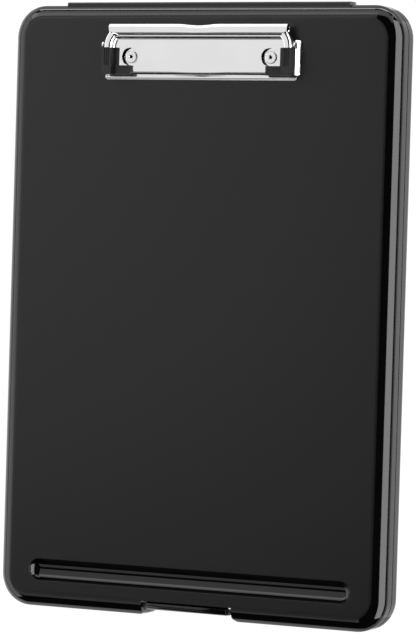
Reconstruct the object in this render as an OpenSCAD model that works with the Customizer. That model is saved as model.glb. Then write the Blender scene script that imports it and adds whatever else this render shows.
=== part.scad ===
// Storage clipboard box: a shallow tray and a hinged lid that is written on.
// The lid carries a sprung steel paper clip, a pen groove and a snap latch.
// It lies on its back: +X is its width, +Y points to the hinge and clip end, +Z out of the face.
// The origin is the middle of the flat back. All lengths are in millimetres.

/* [Case] */
// Width of the case
case_w = 240; // [228:1:300]
// Length of the case, from the latch end to the hinge end
case_l = 340; // [300:1:400]
// Height of the tray, from the back to the seam
tray_h = 11; // [11:0.5:30]
// Height of the lid, from the seam to the face
lid_h = 11; // [11:0.5:20]
// Radius of the case's corners, seen from the front
corner_r = 18; // [14:0.5:26]
// Radius of the rounding round the back and round the face
edge_r = 6.5; // [4:0.1:7]
// Thickness of the side walls
wall = 2.2; // [2:0.1:2.8]
// Thickness of the back and of the writing face
skin = 2; // [1.6:0.1:2.6]
// Width of the seam between tray and lid
seam_gap = 0.5; // [0.3:0.05:0.8]
// Height of the tray's inner lip above the seam
lip_rise = 2; // [1:0.1:3]
// Thickness of the tray's inner lip
lip_t = 1.2; // [1:0.1:1.6]
// Clearance between the lip and the lid's wall
lip_gap = 0.3; // [0.2:0.05:0.6]

/* [Hinge] */
// Length of the hinge along the end of the case
hinge_w = 175; // [120:1:185]
// Number of knuckles, the first and the last on the lid
knuckle_count = 9; // [5:2:13]
// Outer radius of a knuckle
knuckle_r = 1.7; // [1.5:0.05:1.8]
// Gap between one knuckle and the next, and round a knuckle
knuckle_gap = 0.3; // [0.2:0.05:0.4]
// Distance of the hinge axis outside the case's end
hinge_out = 0.3; // [0.2:0.05:0.4]
// Radius of the hinge rod
rod_r = 0.8; // [0.6:0.05:0.9]
// Running clearance round the hinge rod
rod_gap = 0.05; // [0.02:0.01:0.08]
// How far the lid's hinge rail stands out from the end of the case
rail_out = 1.9; // [1.6:0.05:2]
// Height of the rail's upper edge above the seam
rail_top = 7; // [5:0.1:7.5]

/* [Pen groove] */
// Length of the groove
groove_l = 200; // [120:1:205]
// Width of the groove at the face
groove_w = 12.5; // [9:0.1:13]
// Depth of the groove
groove_d = 4; // [3:0.1:4.4]
// Distance from the latch end to the middle of the groove
groove_in = 21.2; // [19:0.1:40]
// Thickness of the trough under the groove
groove_wall = 1.6; // [1.2:0.1:2]

/* [Latch] */
// Width of the notch in the latch end
notch_w = 56; // [46:1:80]
// Depth of the notch
notch_d = 8; // [7.8:0.1:9]
// Thickness of the walls round the notch
notch_wall = 2; // [1.6:0.1:2.4]
// Radius of the notch's outer corners
notch_r = 3; // [1:0.1:3]
// Gap between the latch and each side of the notch
latch_side_gap = 3; // [1:0.1:4]
// Gap between the latch's barrel and the back of the notch
latch_back_gap = 0.2; // [0.15:0.01:0.3]
// Radius of the latch's barrel
latch_barrel_r = 2.25; // [2:0.05:2.4]
// Depth of the latch pin's axis below the face
latch_pin_in = 2.8; // [2.8:0.1:3.4]
// Radius of the latch pin
latch_pin_r = 1; // [0.8:0.05:1.2]
// Running clearance round the latch pin
latch_pin_gap = 0.05; // [0.02:0.01:0.08]
// Thickness of the latch's flap
latch_t = 1.8; // [1.4:0.05:2]
// Gap between the latch's foot and the surface that the case lies on
latch_foot = 1.5; // [1:0.1:2]
// How far the foot flares out as a finger edge
latch_flare = 1.3; // [0.6:0.1:1.6]
// Width of the latch's nib and of its catch
nib_w = 18; // [10:0.5:24]
// Depth of the catch below the seam
catch_below = 4; // [3:0.1:4.5]
// How far the catch stands out from the back of the notch
catch_out = 0.9; // [0.6:0.05:1.2]
// Gap by which the nib's tip passes the catch
catch_gap = 0.12; // [0.1:0.01:0.2]

/* [Clip plate] */
// Width of the clip over its side ridges
clip_w = 122.4; // [102:0.1:142]
// Thickness of the clip's sheet steel
steel_t = 0.8; // [0.7:0.05:0.9]
// Distance from the hinge end to the front edge of the base plate
plate_in = 41.6; // [41:0.1:60]
// Length of the base plate
plate_l = 21.9; // [21:0.1:23]
// Set-back of the plate's front edge from the clip's sides, at each end
plate_nip = 2; // [1.2:0.1:2.4]
// Length of each side ridge
ridge_l = 18.9; // [17:0.1:19.5]
// Width of each side ridge
ridge_w = 2.3; // [2.1:0.05:2.6]
// Height of the side ridges above the face
ridge_h = 2; // [1.9:0.05:2.3]
// Half width and top radius of the lugs that hold the pivot pins
lug_r = 1.9; // [1.6:0.05:2.2]
// Middle radius of the jaw's bends in the sheet steel
bend_r = 1.2; // [1:0.05:1.4]

/* [Clip jaw] */
// Gap between the jaw's side beads and the ridges
jaw_side_gap = 0.9; // [0.9:0.05:1.6]
// Height of the jaw plate's top above the face
jaw_h = 3; // [2.9:0.05:3.3]
// Set-back of the jaw's front lip from the front edge of the base plate
jaw_in = 3.2; // [2.8:0.1:4]
// Length of the jaw's sloping front lip
lip_slope_l = 3.8; // [3:0.1:4.5]
// Gap between the jaw's front lip and the base plate
bite_gap = 0.15; // [0.1:0.01:0.3]
// Width of each side bead
bead_w = 4.8; // [4.6:0.05:5.2]
// Height of the beads above the jaw plate
bead_h = 4; // [3.8:0.05:4.2]
// Radius at which the beads curve in to the roll
bead_curve_r = 10; // [8:0.5:12]
// Angle through which the beads curve in
bead_turn = 38; // [30:1:42]
// Distance from the jaw's front lip to the roll's middle
roll_l = 25.1; // [24.6:0.1:25.6]
// Outer radius of the roll
roll_r = 2.3; // [2.1:0.05:2.4]
// Length of the roll
roll_w = 110; // [98:1:112]
// Angle through which the roll is curled
roll_turn = 250; // [180:5:270]
// Radius of the jaw's access holes over the rivets
access_r = 5; // [4.2:0.1:5.2]

/* [Pivots and springs] */
// Distance from the jaw's front lip to the pivot axis
pivot_l = 15.9; // [15.7:0.1:16.2]
// Height of the pivot axis above the face
pivot_h = 3.8; // [3.7:0.05:3.9]
// Radius of the pivot pins
pivot_r = 0.9; // [0.8:0.05:1]
// Running clearance of the pins in the jaw
pivot_gap = 0.05; // [0.02:0.01:0.08]
// Radius of the spring wire
wire_r = 0.35; // [0.3:0.01:0.38]
// Middle radius of the spring's coil
coil_r = 1.85; // [1.7:0.01:1.87]
// Distance from one turn of the coil to the next
coil_pitch = 1.15; // [1.12:0.01:1.2]
// Length of the spring's legs
leg_l = 9; // [6:0.5:12]

/* [Rivets and grips] */
// Distance of each rivet from the clip's side
rivet_in = 18; // [16.2:0.1:27]
// Distance from the base plate's front edge to the rivets
rivet_l = 12.6; // [12:0.1:13]
// Radius of a rivet's head
rivet_head_r = 3.5; // [3:0.1:3.8]
// Radius of a rivet's shank
rivet_r = 1.65; // [1.4:0.05:1.9]
// Radius of the hole through a rivet
rivet_hole_r = 0.9; // [0.6:0.05:1]
// Clearance round a rivet's shank
rivet_gap = 0.05; // [0.03:0.01:0.2]
// Height of a rivet's head and of its rolled end
rivet_head_h = 0.8; // [0.6:0.05:0.9]
// Thickness of the washers inside the lid
washer_t = 0.6; // [0.5:0.05:1]
// Thickness of the rubber round the jaw's beads
grip_t = 0.6; // [0.5:0.05:0.7]
// Length of a grip along the bead
grip_l = 15; // [10:0.1:15.2]
// Length of a grip along the front lip
grip_w = 16.8; // [10:0.1:18]
// Depth of a grip's front leg
grip_d = 5.1; // [4.8:0.1:5.4]
// Height of a grip's front leg above the jaw plate
grip_h = 1.9; // [1.5:0.05:2.2]
// Width of a grip's rim that lies on the jaw's flat beside the bead
grip_rim_w = 2.3; // [1.5:0.1:2.6]
// Height of that rim above the jaw plate
grip_rim_h = 1.2; // [0.8:0.1:1.6]
// Number of grooves along each leg of a grip
grip_ribs = 3; // [2:1:3]

/* [Hidden] */
$fn = 72;

// A little more than nothing, so that cuts run past the faces that they open
past = 1;

face_z = tray_h + lid_h;
end_y = case_l / 2;
shell_h = lid_h - seam_gap / 2;

// Hinge
hinge_y = end_y + hinge_out;
knuckle_pitch = hinge_w / knuckle_count;
knuckle_l = knuckle_pitch - knuckle_gap;
pocket_r = knuckle_r + knuckle_gap;
rail_foot = pocket_r;
rail_edge_r = 1.2;

// Pen groove: the trough's round section follows from its width and depth
groove_r = (pow(groove_w / 2, 2) + pow(groove_d, 2)) / (2 * groove_d);
groove_y = groove_in - end_y;
groove_z = face_z - groove_d + groove_r;

// Latch
notch_y = notch_d - end_y;
latch_y = notch_y - latch_back_gap - latch_barrel_r;
latch_z = face_z - latch_pin_in;
latch_w = notch_w - 2 * latch_side_gap;
latch_pin_l = notch_w + 2 * (notch_wall - 0.5);
flap_out_y = latch_y - latch_barrel_r;
flap_in_y = flap_out_y + latch_t;
catch_z = tray_h - catch_below;
catch_h = 1.2;
nib_drop = 0.3;
nib_h = 1.5;

// Clip
plate_y = end_y - plate_in;
plate_rear_y = plate_y + plate_l;
plate_top = face_z + steel_t;
ridge_bend_r = 0.5;
lug_x = clip_w / 2 - ridge_w + steel_t / 2;
jaw_y = plate_y + jaw_in;
jaw_z = face_z + jaw_h - steel_t / 2;
jaw_top = face_z + jaw_h;
bead_out_x = clip_w / 2 - ridge_w - jaw_side_gap;
bead_x = bead_out_x - bead_w / 2;
bead_in_x = bead_out_x - bead_w;
bead_top = jaw_top + bead_h;
pivot_y = jaw_y + pivot_l;
pivot_z = face_z + pivot_h;
lip_z = plate_top + bite_gap + steel_t / 2;
lip_slope = asin((jaw_z - lip_z) / lip_slope_l);
fold_y = jaw_y + lip_slope_l * cos(lip_slope);
roll_y = jaw_y + roll_l;
roll_mid_r = roll_r - steel_t / 2;
roll_top = bead_top - 0.2;
// The rise behind the jaw's flat: two square bends with a straight between them
rise_l = roll_top - steel_t / 2 - jaw_z - 2 * bend_r;
roll_flat = 3.2;
flat_l = roll_y - fold_y - 2 * bend_r - roll_flat;
rivet_x = clip_w / 2 - rivet_in;
rivet_y = plate_y + rivet_l;

// Points of the spring: two straight legs joined by a coil of one turn and a half
coil_steps = 24;
wire_sides = 8;
coil_turn = 540;
coil_len = coil_pitch * coil_turn / 360;

// ---- shared shapes ----

// Sweeps a profile round the case's plan. The profile's x runs outward from the corner centres.
module round_case() {
    across = case_w / 2 - corner_r;
    along = end_y - corner_r;
    for (corner = [[1, 1, 0], [-1, 1, 90], [-1, -1, 180], [1, -1, 270]])
        translate([corner[0] * across, corner[1] * along, 0])
            rotate(corner[2]) rotate_extrude(angle = 90) children();
    for (side = [0, 180]) {
        rotate(side) translate([across, along, 0])
            rotate([90, 0, 0]) linear_extrude(2 * along) children();
        rotate(side) translate([-across, along, 0])
            rotate([90, 0, 90]) linear_extrude(2 * across) children();
    }
}

// Half section of a solid half case of height h with a rounded edge, grown inward by inset
module edge_section(h, inset) {
    r = edge_r - inset;
    reach = corner_r - edge_r;
    top = h - edge_r;
    square([reach, top + r]);
    square([reach + r, top]);
    translate([reach, top]) intersection() {
        circle(r);
        square(r);
    }
}

// A solid half case, open side down at z = 0
module half_case(h) {
    round_case() edge_section(h, 0);
    middle_block(0, h);
}

// The block between the four corner centres
module middle_block(z, h) {
    translate([corner_r - case_w / 2, corner_r - end_y, z])
        cube([case_w - 2 * corner_r, case_l - 2 * corner_r, h]);
}

// Half a case as a shell, open side down at z = 0
module half_shell(h) {
    round_case() difference() {
        edge_section(h, 0);
        translate([0, -past]) shell_core(h + past);
    }
    middle_block(h - skin, skin);
}

// The hollow of the shell's half section, for a half case of height h
module shell_core(h) {
    r = edge_r - wall;
    reach = corner_r - wall - r;
    top = h - skin - r;
    square([reach, top + r]);
    square([reach + r, top]);
    translate([reach, top]) intersection() {
        circle(r);
        square(r);
    }
}

// Plan of the notch, with its outer corners rounded away
module notch_plan() {
    translate([-notch_w / 2, -end_y - past]) square([notch_w, notch_d + past]);
    for (side = [0, 1]) mirror([side, 0, 0]) translate([notch_w / 2, -end_y]) difference() {
        translate([-past, -past]) square([notch_r + past, notch_r + past]);
        translate([notch_r, notch_r]) circle(notch_r);
    }
}

// Walls that close a half case round the notch, before the notch is cut
module notch_block(h) {
    intersection() {
        half_case(h);
        translate([-notch_w / 2 - notch_wall, -end_y - past, 0])
            cube([notch_w + 2 * notch_wall, notch_d + notch_wall + past, h]);
    }
}

// A round bar along X, length l, centred
module bar_x(r, l) {
    rotate([0, 90, 0]) rotate(45) cylinder(r = r, h = l, center = true);
}

// Middle of knuckle i along X
function knuckle_at(i) = -hinge_w / 2 + (i + 0.5) * knuckle_pitch;

// One knuckle, drawn from its section round the hinge axis
module knuckle() {
    translate([-knuckle_l / 2, 0, 0]) rotate([90, 0, 90]) linear_extrude(knuckle_l) children();
}

// Puts its children at each knuckle of the lid (odd = 0) or of the tray (odd = 1)
module at_knuckles(odd) {
    for (i = [odd:2:knuckle_count - 1])
        translate([knuckle_at(i), hinge_y, tray_h]) children();
}

// Sheet steel in section: straight runs and bends of one thickness.
// Each step is [length of the run, angle of the bend, middle radius of the bend].
module sheet(steps, i = 0) {
    if (i < len(steps)) {
        run = steps[i][0];
        turn = steps[i][1];
        r = steps[i][2];
        if (run > 0) translate([0, -steel_t / 2]) square([run, steel_t]);
        translate([run, 0]) {
            bend(turn, r);
            end_x = r * sin(abs(turn));
            end_z = sign(turn) * r * (1 - cos(turn));
            translate([end_x, end_z]) rotate(turn) sheet(steps, i + 1);
        }
    }
}

// One bend of the sheet, to the left for a positive angle
module bend(turn, r) {
    a = abs(turn);
    far = 2 * (r + steel_t);
    fans = ceil(a / 60);
    if (a > 0) mirror([0, turn < 0 ? 1 : 0]) translate([0, r]) intersection() {
        difference() {
            circle(r + steel_t / 2);
            circle(r - steel_t / 2);
        }
        polygon([[0, 0], for (k = [0:fans]) far * [sin(a * k / fans), -cos(a * k / fans)]]);
    }
}

// ---- case ----

module base_tray() color([0.06, 0.06, 0.065]) {
    rim_h = tray_h - seam_gap / 2;
    lip_in = corner_r - wall - lip_gap - lip_t;
    lip_out = corner_r - wall - lip_gap;
    lip_root = 3;
    difference() {
        union() {
            translate([0, 0, rim_h]) mirror([0, 0, 1]) half_shell(rim_h);
            translate([0, 0, rim_h]) mirror([0, 0, 1]) notch_block(rim_h);
            difference() {
                translate([0, 0, tray_h]) round_case() polygon([
                    [corner_r - wall, lip_in - lip_out - lip_gap - lip_root],
                    [corner_r - wall, -seam_gap / 2], [lip_out, -seam_gap / 2],
                    [lip_out, lip_rise], [lip_in, lip_rise], [lip_in, -lip_root]
                ]);
                lip_cut();
            }
            at_knuckles(1) knuckle() {
                circle(knuckle_r);
                translate([-hinge_out - wall / 2, -knuckle_r])
                    square([hinge_out + wall / 2, knuckle_r - seam_gap / 2]);
            }
            latch_catch();
        }
        translate([0, 0, -past]) linear_extrude(tray_h + lip_rise + 2 * past) notch_plan();
        at_knuckles(0) bar_x(pocket_r, knuckle_pitch);
        translate([0, hinge_y, tray_h]) bar_x(rod_r + rod_gap, hinge_w + 2 * past);
    }
}

// Where the tray's lip stops short of the lid's notch walls
module lip_cut() {
    half = notch_w / 2 + notch_wall + lip_gap;
    translate([-half, -end_y - past, tray_h - seam_gap / 2])
        cube([2 * half, notch_d + past, lip_rise + 2 * past]);
}

// The ridge on the back of the notch that the latch's nib snaps under
module latch_catch() {
    translate([-nib_w / 2, notch_y, catch_z]) rotate([90, 0, 90]) linear_extrude(nib_w)
        polygon([[0, 0], [-catch_out, 0], [-catch_out, catch_h / 3], [0, catch_h]]);
}

module lid_cover() color([0.07, 0.07, 0.075]) {
    difference() {
        union() {
            translate([0, 0, face_z - shell_h]) {
                half_shell(shell_h);
                notch_block(shell_h);
            }
            groove_trough(groove_wall);
            hinge_rail();
            at_knuckles(0) knuckle() {
                circle(knuckle_r);
                translate([-hinge_out - wall / 2, seam_gap / 2])
                    square([hinge_out + wall / 2, rail_foot]);
                translate([-hinge_out, 0]) square([rail_out, rail_foot + rail_edge_r]);
            }
        }
        groove_trough(0);
        translate([0, 0, tray_h - past]) linear_extrude(lid_h + 2 * past) notch_plan();
        at_knuckles(1) bar_x(pocket_r, knuckle_pitch);
        translate([0, hinge_y, tray_h]) bar_x(rod_r + rod_gap, hinge_w + 2 * past);
        translate([0, latch_y, latch_z]) bar_x(latch_pin_r, latch_pin_l);
        for (side = [-1, 1]) translate([side * rivet_x, rivet_y, face_z - skin - past])
            cylinder(r = rivet_r + rivet_gap, h = skin + 2 * past);
    }
}

// The pen groove's round-ended hollow, or with grow its trough's outside
module groove_trough(grow) {
    half = (groove_l - groove_w) / 2;
    r = groove_r + grow;
    top = grow > 0 ? -skin / 2 : past;
    intersection() {
        translate([0, groove_y, groove_z]) rotate([0, 90, 0]) rotate(180)
            rotate_extrude() intersection() {
                union() {
                    translate([0, -half]) square([r, 2 * half]);
                    for (side = [-1, 1]) translate([0, side * half]) circle(r);
                }
                translate([0, -half - r]) square([r, 2 * (half + r)]);
            }
        translate([-half - r, groove_y - r, tray_h + seam_gap])
            cube([2 * (half + r), 2 * r, lid_h - seam_gap + top]);
    }
}

// The rail along the hinge end of the lid, with rounded long edges
module hinge_rail() {
    depth = rail_out + wall;
    translate([-hinge_w / 2, end_y - wall, tray_h + rail_foot])
        rotate([90, 0, 90]) linear_extrude(hinge_w) {
            square([depth - rail_edge_r, rail_top - rail_foot]);
            translate([0, rail_edge_r])
                square([depth, rail_top - rail_foot - 2 * rail_edge_r]);
            for (z = [rail_edge_r, rail_top - rail_foot - rail_edge_r])
                translate([depth - rail_edge_r, z]) circle(rail_edge_r);
        }
}

module hinge_rod() color("silver")
    translate([0, hinge_y, tray_h]) bar_x(rod_r, hinge_w);

// ---- latch ----

module latch() color([0.06, 0.06, 0.065]) {
    flare_h = 3.5;
    difference() {
        union() {
            translate([-latch_w / 2, 0, 0]) rotate([90, 0, 90]) linear_extrude(latch_w) {
                translate([latch_y, latch_z]) circle(latch_barrel_r);
                translate([flap_out_y, latch_foot]) square([latch_t, latch_z - latch_foot]);
                polygon([
                    [flap_out_y, latch_foot + flare_h], [flap_out_y - latch_flare, latch_foot + 1],
                    [flap_out_y - latch_flare, latch_foot], [flap_out_y, latch_foot]
                ]);
            }
            translate([-nib_w / 2, flap_in_y, catch_z - nib_drop - nib_h])
                rotate([90, 0, 90]) linear_extrude(nib_w) {
                    reach = notch_y - catch_out - catch_gap - flap_in_y;
                    polygon([[-past, 0], [0, 0], [reach, nib_h - 0.4], [reach, nib_h], [-past, nib_h]]);
                }
        }
        translate([0, latch_y, latch_z]) bar_x(latch_pin_r + latch_pin_gap, latch_w + 2 * past);
    }
}

module latch_pin() color([0.06, 0.06, 0.065])
    translate([0, latch_y, latch_z]) bar_x(latch_pin_r, latch_pin_l);

// ---- clip ----

module clip_base_plate() color([0.8, 0.8, 0.82]) {
    front_x = clip_w / 2 - plate_nip;
    inner_x = lug_x - ridge_bend_r;
    ridge_y = plate_rear_y - ridge_l;
    nip_r = 1.5;
    difference() {
        union() {
            translate([0, 0, face_z]) linear_extrude(steel_t) {
                translate([nip_r - front_x, plate_y])
                    square([2 * (front_x - nip_r), ridge_y - plate_y - 0.3]);
                translate([-front_x, plate_y + nip_r])
                    square([2 * front_x, ridge_y - plate_y - nip_r - 0.3]);
                for (side = [-1, 1]) translate([side * (front_x - nip_r), plate_y + nip_r])
                    circle(nip_r);
                translate([-inner_x, plate_y + nip_r]) square([2 * inner_x, plate_l - nip_r]);
            }
            for (side = [0, 1]) mirror([side, 0, 0]) ridge(inner_x, ridge_y);
        }
        for (side = [-1, 1]) {
            translate([side * rivet_x, rivet_y, face_z - past])
                cylinder(r = rivet_r + rivet_gap, h = steel_t + 2 * past);
            translate([side * lug_x, pivot_y, pivot_z]) bar_x(pivot_r, 2 * steel_t);
        }
    }
}

// One ridge, folded up and over at the side of the base plate, and the lug for the pivot pin
module ridge(inner_x, ridge_y) {
    hem = 0.3;
    end_r = 1.2;
    wall_z = face_z + steel_t / 2 + ridge_bend_r;
    difference() {
        intersection() {
            translate([0, plate_rear_y, 0]) rotate([90, 0, 0]) linear_extrude(ridge_l) {
                translate([inner_x, face_z + steel_t / 2]) sheet([
                    [0, 90, ridge_bend_r],
                    [ridge_h - steel_t - 2 * ridge_bend_r, -90, ridge_bend_r],
                    [ridge_w - steel_t - 2 * ridge_bend_r, -90, ridge_bend_r],
                    [ridge_h - steel_t / 2 - ridge_bend_r - hem, 0, 0]
                ]);
                translate([lug_x - steel_t / 2, wall_z])
                    square([steel_t, pivot_z + lug_r + past - wall_z]);
            }
            translate([inner_x - past, 0, 0]) rotate([90, 0, 90]) linear_extrude(clip_w / 2) {
                translate([ridge_y, face_z]) square([ridge_l, ridge_h]);
                translate([pivot_y - lug_r, face_z]) square([2 * lug_r, pivot_h]);
                translate([pivot_y, pivot_z]) rotate(-90) circle(lug_r);
            }
        }
        for (end = [0, 1]) translate([clip_w / 2, end == 0 ? ridge_y : plate_rear_y, face_z - past])
            mirror([0, end, 0]) linear_extrude(ridge_h + 2 * past) difference() {
                translate([-end_r, -past]) square(end_r + past);
                translate([-end_r, end_r]) rotate(180) circle(end_r);
            }
    }
}

module clip_jaw() color([0.82, 0.82, 0.84]) {
    difference() {
        union() {
            jaw_plate();
            jaw_roll();
            for (side = [0, 1]) mirror([side, 0, 0]) jaw_bead();
        }
        for (side = [-1, 1]) {
            translate([side * rivet_x, rivet_y, face_z])
                cylinder(r = access_r, h = jaw_h + past);
            translate([side * bead_out_x, pivot_y, pivot_z])
                bar_x(pivot_r + pivot_gap, 4 * steel_t);
        }
    }
}

// The jaw's sloping lip and flat, seen from the side and drawn across the jaw
module jaw_plate() {
    half = bead_in_x + steel_t;
    translate([-half, 0, 0]) rotate([90, 0, 90]) linear_extrude(2 * half) {
        translate([fold_y, jaw_z]) translate([0, -steel_t / 2]) square([flat_l, steel_t]);
        translate([jaw_y, lip_z]) rotate(lip_slope)
            sheet([[lip_slope_l, 0, 0]]);
        translate([fold_y, jaw_z]) circle(steel_t / 2);
    }
}

// The rise behind the flat and the open roll that is pressed to open the jaw
module jaw_roll() {
    translate([-roll_w / 2, 0, 0]) rotate([90, 0, 90]) linear_extrude(roll_w)
        translate([fold_y + flat_l, jaw_z]) sheet([
            [0, 90, bend_r], [rise_l, -90, bend_r], [roll_flat, -roll_turn, roll_mid_r]
        ]);
}

// One raised side bead: straight beside the flat, then curved in to the end of the roll
module jaw_bead() {
    elbow_y = pivot_y + 1.2;
    translate([bead_x, elbow_y, jaw_z]) rotate([90, 0, 0])
        linear_extrude(elbow_y - jaw_y) bead_section();
    translate([bead_x - bead_curve_r, elbow_y, jaw_z])
        rotate_extrude(angle = bead_turn) translate([bead_curve_r, 0]) bead_section();
}

// Section of a bead, an upturned U of sheet. Its x is outward from the bead's middle.
module bead_section() {
    mid_w = bead_w - steel_t;
    rise = bead_h - bend_r;
    translate([-mid_w / 2, 0]) rotate(90) sheet([
        [rise, -90, bend_r], [mid_w - 2 * bend_r, -90, bend_r], [rise + steel_t / 2, 0, 0]
    ]);
}

// ---- pivots and springs ----

// One pivot pin, from the outside of the lug to inside the jaw's bead
module pivot_pin() color("silver") {
    tip_x = bead_in_x + steel_t + 0.3;
    out_x = lug_x + steel_t / 2;
    translate([(out_x + tip_x) / 2, pivot_y, pivot_z]) bar_x(pivot_r, out_x - tip_x);
}

// A step of the spring's path: position, angle round the coil and direction of the wire
function coil_step(turn) = [
    [coil_pitch * turn / 360, coil_r * cos(turn - 90), coil_r * sin(turn - 90)], turn - 90,
    [coil_pitch / (2 * PI), -coil_r * sin(turn - 90), coil_r * cos(turn - 90)]
];
leg_drop = pivot_h - steel_t - wire_r - coil_r;
spring_path = concat(
    [[[0, -leg_l, -coil_r - leg_drop], -90, [0, leg_l, leg_drop]]],
    [for (k = [0:coil_steps]) coil_step(coil_turn * k / coil_steps)],
    [[[coil_len, -leg_l, coil_r], coil_turn - 90, [0, -1, 0]]]
);

// Ring of points round one step of the path
function wire_ring(step) =
    let (
        out = [0, cos(step[1]), sin(step[1])],
        across = cross(step[2], out) / norm(cross(step[2], out))
    )
    [for (k = [0:wire_sides - 1])
        step[0] + wire_r * (cos(360 * k / wire_sides) * out + sin(360 * k / wire_sides) * across)];

// Least gap between steps of the coil that are half a turn or more apart
spring_gap = min([
    for (a = [0:coil_steps], b = [0:coil_steps]) if ((b - a) * coil_turn / coil_steps >= 180)
        norm(spring_path[a + 1][0] - spring_path[b + 1][0]) - 2 * wire_r
]);
echo(spring_gap = spring_gap);

// One torsion spring, from its leg on the base plate to its leg under the bead
module torsion_spring() color("silver") {
    rings = len(spring_path);
    start_x = bead_x - coil_len / 2;
    translate([start_x, pivot_y, pivot_z]) polyhedron(
        points = [for (step = spring_path) each wire_ring(step)],
        faces = concat(
            [[for (k = [0:wire_sides - 1]) wire_sides - 1 - k]],
            [for (i = [0:rings - 2], k = [0:wire_sides - 1]) each let (
                a = i * wire_sides + k, b = i * wire_sides + (k + 1) % wire_sides
            ) [[a, b, b + wire_sides], [a, b + wire_sides, a + wire_sides]]],
            [[for (k = [0:wire_sides - 1]) (rings - 1) * wire_sides + k]]
        )
    );
}

// ---- rivets ----

// One hollow rivet: head on the base plate, shank through the lid, rolled end under the washer
module rivet() color([0.75, 0.75, 0.77]) {
    grip = steel_t + skin + washer_t;
    head_edge = 0.3;
    translate([rivet_x, rivet_y, plate_top]) rotate_extrude() difference() {
        union() {
            square([rivet_head_r, head_edge]);
            intersection() {
                square([rivet_head_r, rivet_head_h]);
                translate([rivet_head_r - rivet_head_h + head_edge, head_edge])
                    circle(rivet_head_h - head_edge);
            }
            square([rivet_head_r - rivet_head_h + head_edge, rivet_head_h]);
            translate([0, -grip - rivet_head_h]) square([rivet_r, grip + rivet_head_h]);
            translate([rivet_r, -grip - rivet_head_h / 2]) circle(rivet_head_h / 2);
        }
        translate([0, -grip - 2]) square([rivet_hole_r, grip + 4]);
        translate([rivet_hole_r, rivet_head_h]) circle(rivet_head_h * 0.6);
    }
}

module rivet_washer() color([0.7, 0.7, 0.72])
    translate([rivet_x, rivet_y, face_z - skin - washer_t]) difference() {
        cylinder(r = rivet_head_r, h = washer_t);
        translate([0, 0, -past]) cylinder(r = rivet_r + rivet_gap, h = washer_t + 2 * past);
    }

// ---- rubber corner grips ----

// One L-shaped grip: a leg over the bead, a leg over the front lip, grooved along both
module corner_grip() color([0.05, 0.05, 0.05]) {
    out_x = bead_out_x + grip_t;
    front_y = jaw_y - grip_t;
    under_z = plate_top + bite_gap + 0.1;
    top_z = bead_top + grip_t;
    low_z = jaw_top + grip_h;
    corner = 2.4;
    groove = 0.5;
    difference() {
        intersection() {
            union() {
                translate([bead_in_x - grip_t, front_y, under_z])
                    cube([bead_w + 2 * grip_t, grip_l, top_z - under_z]);
                translate([bead_in_x - grip_t - grip_rim_w, front_y, under_z])
                    cube([grip_rim_w + grip_t, grip_l, jaw_top + grip_rim_h - under_z]);
                translate([out_x - grip_w, front_y, under_z])
                    cube([grip_w, grip_d, low_z - under_z]);
            }
            translate([out_x - grip_w, front_y, 0]) linear_extrude(top_z) {
                square([grip_w - corner, grip_l]);
                translate([0, corner]) square([grip_w, grip_l - corner]);
                translate([grip_w - corner, corner]) circle(corner);
            }
        }
        grip_seat(out_x - grip_w - past);
        for (k = [1:grip_ribs]) {
            step = k / (grip_ribs + 1);
            translate([bead_in_x + bead_w * step - groove / 2, front_y + grip_d, top_z - groove / 2])
                cube([groove, grip_l, groove]);
            translate([out_x - grip_w - past, front_y + grip_d * step - groove / 2, low_z - groove / 2])
                cube([grip_w - bead_w - grip_t, groove, groove]);
        }
    }
}

// The space that the jaw's bead, flat and lip take inside a grip
module grip_seat(from_x) {
    round_r = bend_r + steel_t / 2;
    translate([bead_in_x, jaw_y + grip_l + past, face_z]) rotate([90, 0, 0])
        linear_extrude(grip_l + past) {
            top = bead_top - face_z;
            square([bead_w, top - round_r]);
            translate([round_r, 0]) square([bead_w - 2 * round_r, top]);
            for (x = [round_r, bead_w - round_r]) translate([x, top - round_r]) circle(round_r);
        }
    translate([from_x, 0, 0]) rotate([90, 0, 90])
        linear_extrude(bead_x - from_x) {
            tan_half = steel_t / 2 * tan(lip_slope / 2);
            lip_top = lip_z + steel_t / 2 * cos(lip_slope);
            lip_y = jaw_y - steel_t / 2 * sin(lip_slope);
            polygon([
                [lip_y, face_z], [lip_y, lip_top],
                [fold_y - tan_half, jaw_top], [fold_y + grip_l, jaw_top], [fold_y + grip_l, face_z]
            ]);
        }
}

// Draws its children on the right, or mirrored on the left
module on_left() mirror([1, 0, 0]) children();

base_tray();
lid_cover();
hinge_rod();
latch();
latch_pin();
clip_base_plate();
clip_jaw();
on_left() pivot_pin();  // clip_pivot_left
pivot_pin();  // clip_pivot_right
on_left() torsion_spring();  // clip_spring_left
torsion_spring();  // clip_spring_right
on_left() corner_grip();  // corner_grip_left
corner_grip();  // corner_grip_right
on_left() rivet();  // rivet_left
rivet();  // rivet_right
on_left() rivet_washer();  // rivet_washer_left
rivet_washer();  // rivet_washer_right
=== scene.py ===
"""Looks of the storage clipboard box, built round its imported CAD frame.

The lid, the tray, the clip's base plate, the latch and the rubber grips are reshaped copies
of their CAD solids. The clip's jaw and springs are modelled here from the first vertex. Rods,
pins, rivets and washers keep their CAD solids and get a finish.
"""

import math

import bmesh
import bpy
from mathutils import Euler, Matrix, Vector


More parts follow.
